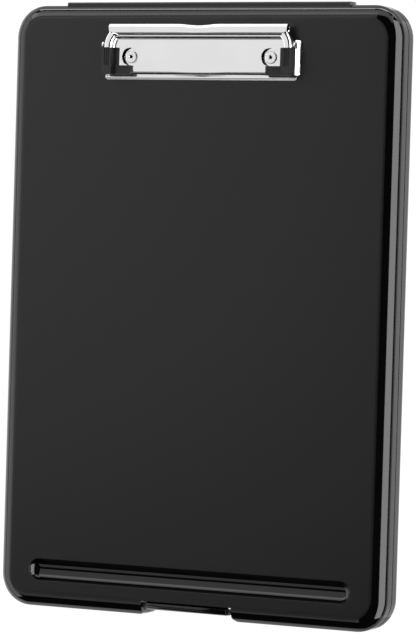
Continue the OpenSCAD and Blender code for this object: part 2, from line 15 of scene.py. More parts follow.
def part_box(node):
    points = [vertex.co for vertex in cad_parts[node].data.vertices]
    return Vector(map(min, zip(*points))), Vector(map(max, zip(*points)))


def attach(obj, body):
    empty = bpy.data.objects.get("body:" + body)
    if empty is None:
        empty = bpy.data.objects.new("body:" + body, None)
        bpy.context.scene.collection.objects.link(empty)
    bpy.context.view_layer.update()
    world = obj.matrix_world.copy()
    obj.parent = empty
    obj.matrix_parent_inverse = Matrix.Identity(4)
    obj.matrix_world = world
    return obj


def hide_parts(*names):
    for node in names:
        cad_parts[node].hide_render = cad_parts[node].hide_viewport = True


bl_info = {
    "name": "Storage clipboard box",
    "version": (1, 0, 0),
    "blender": (4, 5, 0),
    "location": "3D View > Sidebar > Clipboard box",
    "description": "Builds the looks of a storage clipboard box round its CAD frame",
    "category": "Object",
}

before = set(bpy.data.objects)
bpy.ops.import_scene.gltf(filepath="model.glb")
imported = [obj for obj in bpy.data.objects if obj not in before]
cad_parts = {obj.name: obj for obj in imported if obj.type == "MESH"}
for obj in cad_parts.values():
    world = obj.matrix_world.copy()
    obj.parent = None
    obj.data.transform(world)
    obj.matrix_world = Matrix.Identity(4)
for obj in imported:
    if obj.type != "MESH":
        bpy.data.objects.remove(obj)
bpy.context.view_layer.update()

# One millimetre in the CAD frame's metres, and the case's sizes in millimetres
MM = 0.001
FACE_Z = 22.0
CASE_W, CASE_L = 240.0, 340.0
CORNER_R, EDGE_R = 18.0, 6.5

# Photograph: long side and focal length in pixels, and the camera that fits the case
PHOTO_LONG_SIDE = 634
FOCAL_PX = 3589.2
CAMERA_AT = (0.90164, 0.04154, 1.79078)
CAMERA_TURN = (0.024753, -0.46729, -0.040803)


# ---- mesh helpers ----


def point(x, y, z):
    """A point given in millimetres, as a vector in metres."""
    return Vector((x, y, z)) * MM


def make_piece(name, bm, body, slot, replaced):
    """Turns a bmesh into a piece in a slot's finish, which rides on a body for CAD nodes."""
    mesh = bpy.data.meshes.new(name)
    bm.to_mesh(mesh)
    bm.free()
    mesh.materials.append(finish(slot))
    piece = bpy.data.objects.new(name, mesh)
    bpy.context.scene.collection.objects.link(piece)
    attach(piece, body)
    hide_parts(*replaced)
    return piece


def shade_smooth(bm):
    """Marks every face of a bmesh as smooth."""
    for face in bm.faces:
        face.smooth = True


def soften_edges(piece, width, angle):
    """Rounds a piece's edges over an angle in degrees, by a width in millimetres."""
    bevel = piece.modifiers.new("edge_rounding", "BEVEL")
    bevel.width = width * MM
    bevel.segments = 2
    bevel.limit_method = "ANGLE"
    bevel.angle_limit = math.radians(angle)
    bevel.harden_normals = True
    bevel.use_clamp_overlap = True


def keep_flats_flat(piece):
    """Weights the normals by face area, so that bends don't shade the flats beside them."""
    weigh = piece.modifiers.new("flat_normals", "WEIGHTED_NORMAL")
    weigh.mode = "FACE_AREA"
    weigh.weight = 100
    weigh.keep_sharp = True


def crease(bm, angle=30):
    """Shades a mesh smooth apart from its edges over an angle in degrees."""
    for edge in bm.edges:
        edge.smooth = edge.calc_face_angle(0.0) < math.radians(angle)
    shade_smooth(bm)


def give_thickness(piece, thickness):
    """Gives a sheet its thickness in millimetres, half to each side of its surface."""
    wall = piece.modifiers.new("sheet_thickness", "SOLIDIFY")
    wall.thickness = thickness * MM
    wall.offset = 0
    wall.use_even_offset = True


def push(bm, geometry, move):
    """Extrudes edges by a move in millimetres and returns the new edges."""
    made = bmesh.ops.extrude_edge_only(bm, edges=geometry)["geom"]
    verts = [g for g in made if isinstance(g, bmesh.types.BMVert)]
    bmesh.ops.translate(bm, verts=verts, vec=point(*move))
    ends = set(verts)
    return [
        g for g in made
        if isinstance(g, bmesh.types.BMEdge) and g.verts[0] in ends and g.verts[1] in ends
    ]


def turn_edges(bm, geometry, centre, axis, degrees, steps):
    """Spins edges round an axis through a point in millimetres and returns the last ones."""
    made = bmesh.ops.spin(
        bm, geom=geometry, cent=point(*centre), axis=axis, dvec=(0, 0, 0),
        angle=math.radians(degrees), steps=steps, use_duplicate=False,
    )
    return [g for g in made["geom_last"] if isinstance(g, bmesh.types.BMEdge)]


def run_on(bm, row, path, length):
    """Extrudes edges straight on along a path (y, z, heading) by a length."""
    y, z, heading = path
    dy = length * math.cos(math.radians(heading))
    dz = length * math.sin(math.radians(heading))
    return push(bm, row, (0, dy, dz)), (y + dy, z + dz, heading)


def bend_on(bm, row, path, turn, radius, steps):
    """Extrudes edges round a bend of a path, upwards where the turn is positive."""
    y, z, heading = path
    side = 1 if turn > 0 else -1
    a, b = math.radians(heading), math.radians(heading + turn)
    mid_y, mid_z = y - side * radius * math.sin(a), z + side * radius * math.cos(a)
    row = turn_edges(bm, row, (0, mid_y, mid_z), (side, 0, 0), abs(turn), steps)
    end = (mid_y + side * radius * math.sin(b), mid_z - side * radius * math.cos(b))
    return row, (*end, heading + turn)


def along_points(place, points):
    """Reads a height off a line through points (place, height)."""
    for (near, low), (far, high) in zip(points, points[1:]):
        if place <= far:
            return low + (high - low) * max(0.0, place - near) / (far - near)
    return points[-1][1]


def chain(bm, start, moves):
    """Draws a chain of edges from a point through a list of moves, all in millimetres.

    A move is a step (x, y, z), or a bend (centre offset, axis, degrees, steps).
    """
    vert = bmesh.ops.create_vert(bm, co=point(*start))["vert"][0]
    for move in moves:
        if len(move) == 3:
            made = bmesh.ops.extrude_vert_indiv(bm, verts=[vert])
            vert = made["verts"][0]
            vert.co += point(*move)
        else:
            offset, axis, degrees, steps = move
            made = bmesh.ops.spin(
                bm, geom=[vert], cent=vert.co + point(*offset), axis=axis, dvec=(0, 0, 0),
                angle=math.radians(degrees), steps=steps, use_duplicate=False,
            )
            vert = [g for g in made["geom_last"] if isinstance(g, bmesh.types.BMVert)][0]


def copy_of_node(node):
    """A merged copy of a CAD node's mesh, with its flats joined to single faces."""
    bm = bmesh.new()
    bm.from_mesh(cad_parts[node].data)
    bmesh.ops.remove_doubles(bm, verts=bm.verts, dist=0.002 * MM)
    bmesh.ops.dissolve_limit(
        bm, angle_limit=math.radians(0.6), verts=bm.verts, edges=bm.edges,
        use_dissolve_boundaries=False,
    )
    return bm


def cut_rows(bm, axis, places):
    """Cuts a mesh across an axis at places in millimetres."""
    for place in places:
        spot = Vector((0, 0, 0))
        spot[axis] = place * MM
        normal = Vector((0, 0, 0))
        normal[axis] = 1
        bmesh.ops.bisect_plane(
            bm, geom=list(bm.verts) + list(bm.edges) + list(bm.faces), dist=1e-7,
            plane_co=spot, plane_no=normal)


def lid_shoulder(turn):
    """Out and up from the rounding's axis, in millimetres, for a turn from the vertical.

    A wide arc leads down from the face, and a tight one from there to the seam.
    """
    wide_r, wide_out, wide_turn = 11, -2.92, 57
    tight_r, tight_out, tight_up = 1.2, 5.3, 0.837
    join = 78
    if turn < join:
        a = math.radians(turn / join * wide_turn)
        return wide_out + wide_r * math.sin(a), EDGE_R - wide_r * (1 - math.cos(a))
    a = math.radians(wide_turn + (turn - join) / (90 - join) * (90 - wide_turn))
    return tight_out + tight_r * math.sin(a), tight_up + tight_r * math.cos(a)


def reshape_shoulder(bm):
    """Moves the lid's edge rounding onto its section of a wide and a tight arc."""
    axis_z = FACE_Z - EDGE_R
    rows, near = 12, 0.12
    turns = [math.radians(90 / rows * i) for i in range(1, rows)]
    cut_rows(bm, 2, [axis_z + EDGE_R * math.cos(turn) for turn in turns])
    inner_x, inner_y = CASE_W / 2 - CORNER_R, CASE_L / 2 - CORNER_R
    reach = CORNER_R - EDGE_R
    for vert in bm.verts:
        x, y, z = vert.co / MM
        across, along = abs(x) - inner_x, abs(y) - inner_y
        if across > 0 and along > 0:
            length = math.hypot(across, along)
            way = Vector(
                (math.copysign(across / length, x), math.copysign(along / length, y), 0))
        elif across > along:
            length, way = across, Vector((math.copysign(1, x), 0, 0))
        else:
            length, way = along, Vector((0, math.copysign(1, y), 0))
        out, rise = length - reach, z - axis_z
        if out < -0.01 or rise < -0.01 or abs(math.hypot(out, rise) - EDGE_R) > near:
            continue
        new_out, new_rise = lid_shoulder(math.degrees(math.atan2(out, rise)))
        vert.co += way * (new_out - out) * MM
        vert.co.z += (new_rise - rise) * MM


# ---- material helpers ----


class Recipe:
    """The nodes of a material or world, with short calls for the kinds used here."""

    def __init__(self, owner):
        self.owner = owner
        self.owner.use_nodes = True
        self.tree = self.owner.node_tree
        self.tree.nodes.clear()

    def node(self, kind, inputs=None, **settings):
        """Adds a node. A value in inputs is a number, a colour or another node's socket."""
        made = self.tree.nodes.new(kind)
        for name, value in settings.items():
            setattr(made, name, value)
        for name, value in (inputs or {}).items():
            socket = made.inputs[name]
            if isinstance(value, bpy.types.NodeSocket):
                self.tree.links.new(value, socket)
            else:
                socket.default_value = value
        return made

    def math(self, operation, a, b=0.0, clamp=False):
        """The result of a Math node."""
        return self.node(
            "ShaderNodeMath", {0: a, 1: b}, operation=operation, use_clamp=clamp).outputs[0]

    def ramp(self, value, low, high, to_low=0.0, to_high=1.0):
        """Maps a value from one range to another, clamped."""
        return self.node(
            "ShaderNodeMapRange",
            {"Value": value, "From Min": low, "From Max": high,
             "To Min": to_low, "To Max": to_high},
            clamp=True,
        ).outputs["Result"]

    def mix_colour(self, share, first, second):
        """A blend of two colours."""
        return self.node(
            "ShaderNodeMix", {0: share, 6: first, 7: second}, data_type="RGBA").outputs[2]

    def mix_value(self, share, first, second):
        """A blend of two numbers."""
        return self.node(
            "ShaderNodeMix", {0: share, 2: first, 3: second}, data_type="FLOAT").outputs[0]

    def noise(self, coordinates, scale, detail=2.0, roughness=0.5):
        """The value of a Noise Texture. Scale is in waves per metre."""
        return self.node(
            "ShaderNodeTexNoise",
            {"Vector": coordinates, "Scale": scale, "Detail": detail, "Roughness": roughness},
        ).outputs["Fac"]

    def place(self):
        """Object coordinates."""
        return self.node("ShaderNodeTexCoord").outputs["Object"]

    def stretched(self, coordinates, scale):
        """Coordinates scaled apart along the axes."""
        return self.node(
            "ShaderNodeMapping", {"Vector": coordinates, "Scale": scale}
        ).outputs["Vector"]

    def bump(self, height, strength, distance, normal=None):
        """The normal of a Bump node. Distance is in metres."""
        inputs = {"Height": height, "Strength": strength, "Distance": distance}
        if normal is not None:
            inputs["Normal"] = normal
        return self.node("ShaderNodeBump", inputs).outputs["Normal"]

    def soft_corners(self, radius):
        """The normal of a Bevel node, whose radius is in metres."""
        return self.node("ShaderNodeBevel", {"Radius": radius}, samples=6).outputs["Normal"]

    def surface(self, inputs):
        """Ends the material with a Principled shader."""
        shader = self.node("ShaderNodeBsdfPrincipled", inputs)
        self.node("ShaderNodeOutputMaterial", {"Surface": shader.outputs[0]})
        return self.owner


def grey(value):
    """An opaque grey."""
    return (value, value, value, 1.0)


def shade(colour, factor):
    """A colour made darker or lighter by a factor, opaque."""
    return tuple(part * factor for part in colour[:3]) + (1.0,)


def moulded_plastic(name, colour, settings, grained_face=False):
    """Black polypropylene: glossy, with faint flow marks, and satin on the inside.

    On the lid it also has the grained writing face, with faint scuffs along the case.
    """
    mix = Recipe(bpy.data.materials.new(name))
    place = mix.place()
    flow = mix.noise(place, scale=26.0, detail=3.0)
    tone = mix.mix_colour(mix.ramp(flow, 0.35, 0.65), shade(colour, 0.75), shade(colour, 1.25))
    gloss = settings.gloss_roughness
    rough = mix.ramp(flow, 0.3, 0.7, to_low=gloss * 0.85, to_high=gloss * 1.2)
    inside = inner_share(mix, place)
    rough = mix.mix_value(inside, rough, settings.inside_roughness)
    waves = mix.noise(place, scale=60.0, detail=1.0)
    normal = mix.bump(waves, strength=0.06, distance=0.0002,
                      normal=mix.soft_corners(settings.edge_softness))
    grain_scale, grain_depth = 1.0 / settings.grain_size, 0.00006
    spark = mix.math("MULTIPLY", mix.noise(place, scale=grain_scale), inside)
    normal = mix.bump(spark, strength=0.3, distance=grain_depth, normal=normal)
    if grained_face:
        share = face_share(mix, place)
        fine = mix.noise(place, scale=900.0)
        satin = settings.face_roughness
        matt = mix.ramp(fine, 0.3, 0.7, to_low=satin * 0.9, to_high=satin * 1.1)
        rough = mix.mix_value(share, rough, matt)
        grain = mix.noise(place, scale=grain_scale, roughness=0.55)
        normal = mix.bump(mix.math("MULTIPLY", grain, share), strength=0.35,
                          distance=grain_depth, normal=normal)
        face = tuple(settings.face_colour)
        tone = mix.mix_colour(share, tone, face)
        worn = mix.noise(mix.stretched(place, (1.0, 0.12, 1.0)), scale=420.0)
        scuff = mix.math("MULTIPLY", mix.ramp(worn, 0.66, 0.8), share)
        tone = mix.mix_colour(mix.math("MULTIPLY", scuff, 0.3), tone, grey(face[0] * 2.2))
    return mix.surface({"Base Color": tone, "Roughness": rough, "Normal": normal, "IOR": 1.49})


def inner_share(mix, place):
    """One on the satin inside of the tray and the lid, else nought."""
    # Half width, half length, bottom and top, in millimetres, of the whole inside and of
    # the part of it next to the face
    hollow = (117.4, 167.4, 1.6, 17.9)
    below_face = (114.0, 164.0, 17.0, FACE_Z - 1.6)
    groove_y = -142.0
    at = mix.node("ShaderNodeSeparateXYZ", {"Vector": place})

    def within(half_x, half_y, low_z, high_z):
        share = mix.math("LESS_THAN", mix.math("ABSOLUTE", at.outputs["X"]), half_x * MM)
        for test, name, limit in (("LESS_THAN", "Z", high_z), ("GREATER_THAN", "Z", low_z)):
            share = mix.math("MULTIPLY", share, mix.math(test, at.outputs[name], limit * MM))
        near = mix.math("LESS_THAN", mix.math("ABSOLUTE", at.outputs["Y"]), half_y * MM)
        return mix.math("MULTIPLY", share, near)

    # Above the pen groove's bottom, only what lies from the groove towards the hinge is inside
    clear = mix.math("GREATER_THAN", at.outputs["Y"], groove_y * MM)
    under = mix.math("MULTIPLY", within(*below_face), clear)
    return mix.math("MAXIMUM", within(*hollow), under)


def face_share(mix, place):
    """One on the grained writing face, a rounded rectangle on the lid's top, else nought."""
    # The rectangle and the width of its blurred border, in metres
    half_x, half_y, corner, blur = 0.1127, 0.1634, 0.0125, 0.0002
    top_z = (FACE_Z - 0.35) * MM
    at = mix.node("ShaderNodeSeparateXYZ", {"Vector": place})
    over = []
    for name, half in (("X", half_x), ("Y", half_y)):
        far = mix.math("SUBTRACT", mix.math("ABSOLUTE", at.outputs[name]), half - corner)
        over.append(mix.math("MAXIMUM", far, 0.0))
    plan = mix.node("ShaderNodeCombineXYZ", {"X": over[0], "Y": over[1]})
    away = mix.node("ShaderNodeVectorMath", {0: plan.outputs[0]}, operation="LENGTH")
    inside = mix.ramp(
        away.outputs["Value"], corner - blur, corner + blur, to_low=1.0, to_high=0.0)
    on_top = mix.math("GREATER_THAN", at.outputs["Z"], top_z)
    return mix.math("MULTIPLY", inside, on_top)


def nickel_plate(name, colour, settings):
    """Bright nickel plated steel with faint rolling lines and handling haze."""
    mix = Recipe(bpy.data.materials.new(name))
    place = mix.place()
    haze = mix.noise(place, scale=55.0, detail=3.0)
    lines = mix.noise(mix.stretched(place, (0.03, 1.0, 1.0)), scale=2600.0)
    tone = mix.mix_colour(mix.ramp(haze, 0.3, 0.75), shade(colour, 0.96), colour)
    shine = settings.plate_roughness
    rough = mix.math(
        "ADD", mix.ramp(haze, 0.35, 0.7, to_low=shine * 0.7, to_high=shine * 1.3),
        mix.ramp(lines, 0.4, 0.75, to_low=0.0, to_high=0.02))
    waves = mix.noise(place, scale=130.0, detail=1.0)
    normal = mix.bump(waves, strength=0.05, distance=0.0001, normal=mix.soft_corners(0.00015))
    return mix.surface(
        {"Base Color": tone, "Metallic": 1.0, "Roughness": rough, "Normal": normal})


def drawn_steel(name, colour):
    """Plain drawn steel wire and rod, with lines along its length."""
    mix = Recipe(bpy.data.materials.new(name))
    place = mix.place()
    lines = mix.noise(mix.stretched(place, (0.04, 1.0, 1.0)), scale=3200.0, detail=3.0)
    spots = mix.noise(place, scale=240.0)
    tone = mix.mix_colour(mix.ramp(spots, 0.35, 0.7), shade(colour, 0.8), colour)
    rough = mix.ramp(lines, 0.3, 0.7, to_low=0.2, to_high=0.36)
    normal = mix.bump(lines, strength=0.12, distance=0.00003)
    return mix.surface(
        {"Base Color": tone, "Metallic": 1.0, "Roughness": rough, "Normal": normal})


def moulded_rubber(name, colour):
    """Black moulded rubber: satin, with a pebbled skin and a dusty bloom."""
    mix = Recipe(bpy.data.materials.new(name))
    place = mix.place()
    pebble = mix.noise(place, scale=2400.0)
    bloom = mix.noise(place, scale=300.0, detail=3.0)
    tone = mix.mix_colour(mix.ramp(bloom, 0.4, 0.75), colour, grey(colour[0] * 2.0))
    rough = mix.ramp(bloom, 0.3, 0.7, to_low=0.3, to_high=0.42)
    normal = mix.bump(pebble, strength=0.3, distance=0.00005)
    return mix.surface({"Base Color": tone, "Roughness": rough, "Normal": normal, "IOR": 1.5})


def finish(slot):
    """The material of a record slot, made on first use."""
    name = "finish_" + slot
    made = bpy.data.materials.get(name)
    if made:
        return made
    settings = bpy.context.scene.clipboard_finish
    if slot == "case":
        return moulded_plastic(name, tuple(settings.case_colour), settings)
    if slot == "lid":
        return moulded_plastic(name, tuple(settings.lid_colour), settings, True)
    if slot == "plated":
        return nickel_plate(name, tuple(settings.plate_colour), settings)
    if slot == "steel":
        return drawn_steel(name, tuple(settings.steel_colour))
    return moulded_rubber(name, tuple(settings.rubber_colour))


def dress_node(node, slot):
    """Gives a CAD node the finish of a slot."""
    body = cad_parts[node]
    body.data.materials.clear()
    body.data.materials.append(finish(slot))


# ---- settings ----


class ClipboardFinish(bpy.types.PropertyGroup):
    """Colours and surface of the case, the clip and the rubber."""

    case_colour: bpy.props.FloatVectorProperty(
        name="Case colour", description="Plastic of the tray, the latch and its pin",
        default=(0.001, 0.001, 0.0011, 1.0), size=4, min=0.0, max=1.0, subtype="COLOR")
    lid_colour: bpy.props.FloatVectorProperty(
        name="Lid colour", description="Plastic of the lid's glossy edges",
        default=(0.001, 0.001, 0.0011, 1.0), size=4, min=0.0, max=1.0, subtype="COLOR")
    face_colour: bpy.props.FloatVectorProperty(
        name="Face colour", description="Grained plastic of the writing face",
        default=(0.0022, 0.0022, 0.0023, 1.0), size=4, min=0.0, max=1.0, subtype="COLOR")
    plate_colour: bpy.props.FloatVectorProperty(
        name="Plate colour", description="Nickel plating of the clip",
        default=(0.86, 0.86, 0.865, 1.0), size=4, min=0.0, max=1.0, subtype="COLOR")
    steel_colour: bpy.props.FloatVectorProperty(
        name="Steel colour", description="Hinge rod, pivots, springs and washers",
        default=(0.58, 0.58, 0.59, 1.0), size=4, min=0.0, max=1.0, subtype="COLOR")
    rubber_colour: bpy.props.FloatVectorProperty(
        name="Rubber colour", description="Corner grips of the clip",
        default=(0.006, 0.006, 0.006, 1.0), size=4, min=0.0, max=1.0, subtype="COLOR")
    gloss_roughness: bpy.props.FloatProperty(
        name="Gloss", description="Roughness of the case's sides",
        default=0.06, min=0.0, max=1.0, subtype="FACTOR")
    face_roughness: bpy.props.FloatProperty(
        name="Face", description="Roughness of the grained writing face",
        default=0.36, min=0.0, max=1.0, subtype="FACTOR")
    inside_roughness: bpy.props.FloatProperty(
        name="Inside", description="Roughness of the satin inside of tray and lid",
        default=0.45, min=0.0, max=1.0, subtype="FACTOR")
    plate_roughness: bpy.props.FloatProperty(
        name="Plating", description="Roughness of the nickel plating",
        default=0.06, min=0.0, max=1.0, subtype="FACTOR")
    grain_size: bpy.props.FloatProperty(
        name="Grain", description="Size of the grain of the writing face",
        default=0.0004, min=0.0001, max=0.002, subtype="DISTANCE", unit="LENGTH")
    edge_softness: bpy.props.FloatProperty(
        name="Edge softness", description="Radius of the mould's broken edges",
        default=0.0003, min=0.0, max=0.001, subtype="DISTANCE", unit="LENGTH")


class ClipboardClip(bpy.types.PropertyGroup):
    """Sizes of the paper clip, in metres."""

    steel: bpy.props.FloatProperty(
        name="Sheet steel", description="Thickness of the clip's sheet steel",
        default=0.0008, min=0.0004, max=0.0012, subtype="DISTANCE", unit="LENGTH")
    dip_width: bpy.props.FloatProperty(
        name="Thumb dip width", description="Width of the dip in the roll that is pressed",
        default=0.027, min=0.01, max=0.08, subtype="DISTANCE", unit="LENGTH")
    dip_depth: bpy.props.FloatProperty(
        name="Thumb dip depth", description="Depth of the dip in the roll",
        default=0.0008, min=0.0, max=0.0015, subtype="DISTANCE", unit="LENGTH")
    arch_width: bpy.props.FloatProperty(
        name="Lip arch width", description="Width of the arch in the middle of the front lip",
        default=0.036, min=0.0, max=0.06, subtype="DISTANCE", unit="LENGTH")
    arch_rise: bpy.props.FloatProperty(
        name="Lip arch rise", description="Rise of the arch in the front lip",
        default=0.0012, min=0.0, max=0.002, subtype="DISTANCE", unit="LENGTH")


class ClipboardStudio(bpy.types.PropertyGroup):
    """Levels of the studio light."""

    bank: bpy.props.FloatProperty(
        name="Light bank", description="Brightness of the overhead bank",
        default=0.87, min=0.0, max=10.0)
    side: bpy.props.FloatProperty(
        name="Side box", description="Brightness of the soft box on the right",
        default=5.0, min=0.0, max=10.0)
    wall: bpy.props.FloatProperty(
        name="Back wall", description="Brightness of the tall soft box behind the case",
        default=1.5, min=0.0, max=10.0)
    front: bpy.props.FloatProperty(
        name="Front bank", description="Brightness of the overhead box in front of the case",
        default=0.7, min=0.0, max=10.0)
    left: bpy.props.FloatProperty(
        name="Left box", description="Brightness of the low soft box on the left",
        default=1.6, min=0.0, max=10.0)
    back: bpy.props.FloatProperty(
        name="Back strip", description="Brightness of the low strip behind the case",
        default=6.0, min=0.0, max=10.0)
    room: bpy.props.FloatProperty(
        name="Room light", description="Brightness of the room all round",
        default=0.02, min=0.0, max=2.0)
    floor: bpy.props.FloatProperty(
        name="Floor", description="How much of the floor's white is its own",
        default=0.92, min=0.0, max=1.0, subtype="FACTOR")


# ---- pieces ----


class CLIPBOARD_OT_case(bpy.types.Operator):
    """Models the tray and the lid, whose edge falls in a wide arc and a tight one"""

    bl_idname = "clipboard.case"
    bl_label = "Tray and lid"

    # Height of the lid's rim, and how far it is lifted off the tray's
    rim_z, rim_lift = 11.25, 0.4

    def execute(self, context):
        lid = copy_of_node("lid_cover")
        reshape_shoulder(lid)
        # The gap at the rim shows as a dark line all round
        for vert in lid.verts:
            if abs(vert.co.z / MM - self.rim_z) < 0.02:
                vert.co.z += self.rim_lift * MM
        crease(lid)
        piece = make_piece("lid_shell", lid, "lid", "lid", ["lid_cover"])
        keep_flats_flat(piece)
        tray = copy_of_node("base_tray")
        crease(tray)
        piece = make_piece("tray_shell", tray, "tray", "case", ["base_tray"])
        keep_flats_flat(piece)
        return {"FINISHED"}


class CLIPBOARD_OT_hinge(bpy.types.Operator):
    """Finishes the hinge rod, the latch pin, the clip's pivots, rivets and washers"""

    bl_idname = "clipboard.hinge"
    bl_label = "Rods, pins and rivets"

    def execute(self, context):
        dress_node("latch_pin", "case")
        for node in ("hinge_rod", "clip_pivot_left", "clip_pivot_right",
                     "rivet_washer_left", "rivet_washer_right"):
            dress_node(node, "steel")
        for node in ("rivet_left", "rivet_right"):
            dress_node(node, "plated")
        return {"FINISHED"}


class CLIPBOARD_OT_latch(bpy.types.Operator):
    """Models the snap latch with rounded mould edges"""

    bl_idname = "clipboard.latch"
    bl_label = "Latch"

    def execute(self, context):
        bm = copy_of_node("latch")
        shade_smooth(bm)
        piece = make_piece("latch_flap", bm, "latch", "case", ["latch"])
        soften_edges(piece, width=0.22, angle=30)
        return {"FINISHED"}


class CLIPBOARD_OT_clip_plate(bpy.types.Operator):
    """Models the clip's base plate: crowned front strip, folded side ridges and pivot lugs"""

    bl_idname = "clipboard.clip_plate"
    bl_label = "Clip base plate"

    # Front strip: its width, the height of its crown, and the rows at which that bends
    strip, crown = 2.7, 0.34
    rows = (0.15, 0.35, 0.7, 1.05, 1.35, 1.65, 2.0, 2.35, 2.55, 2.7)
    # Side ridges: width, and the heights of their tops above the face, as solid and as crest
    ridge_w, ridge_h, ridge_crest = 2.3, 2.0, 2.9

    def execute(self, context):
        low, high = (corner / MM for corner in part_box("clip_base_plate"))
        bm = copy_of_node("clip_base_plate")
        cut_rows(bm, 1, [low.y + row for row in self.rows])
        # The crown of the front strip, which bends up a little and down again
        for vert in bm.verts:
            along = vert.co.y / MM - low.y
            if along < self.strip:
                vert.co.z += self.crown * math.sin(math.pi * along / self.strip) ** 2 * MM
        # The side ridges, whose folded tops stand higher inside and fall away outwards
        for vert in bm.verts:
            x, y, z = vert.co / MM
            past = abs(x) - (high.x - self.ridge_w)
            below = FACE_Z + self.ridge_h - z
            if past > -0.01 and y > low.y + self.strip and -0.01 < below < 0.55:
                vert.co.z = (FACE_Z + self.ridge_crest - past - below / 2) * MM
        crease(bm, 35)
        piece = make_piece("clip_plate", bm, "lid", "plated", ["clip_base_plate"])
        keep_flats_flat(piece)
        return {"FINISHED"}


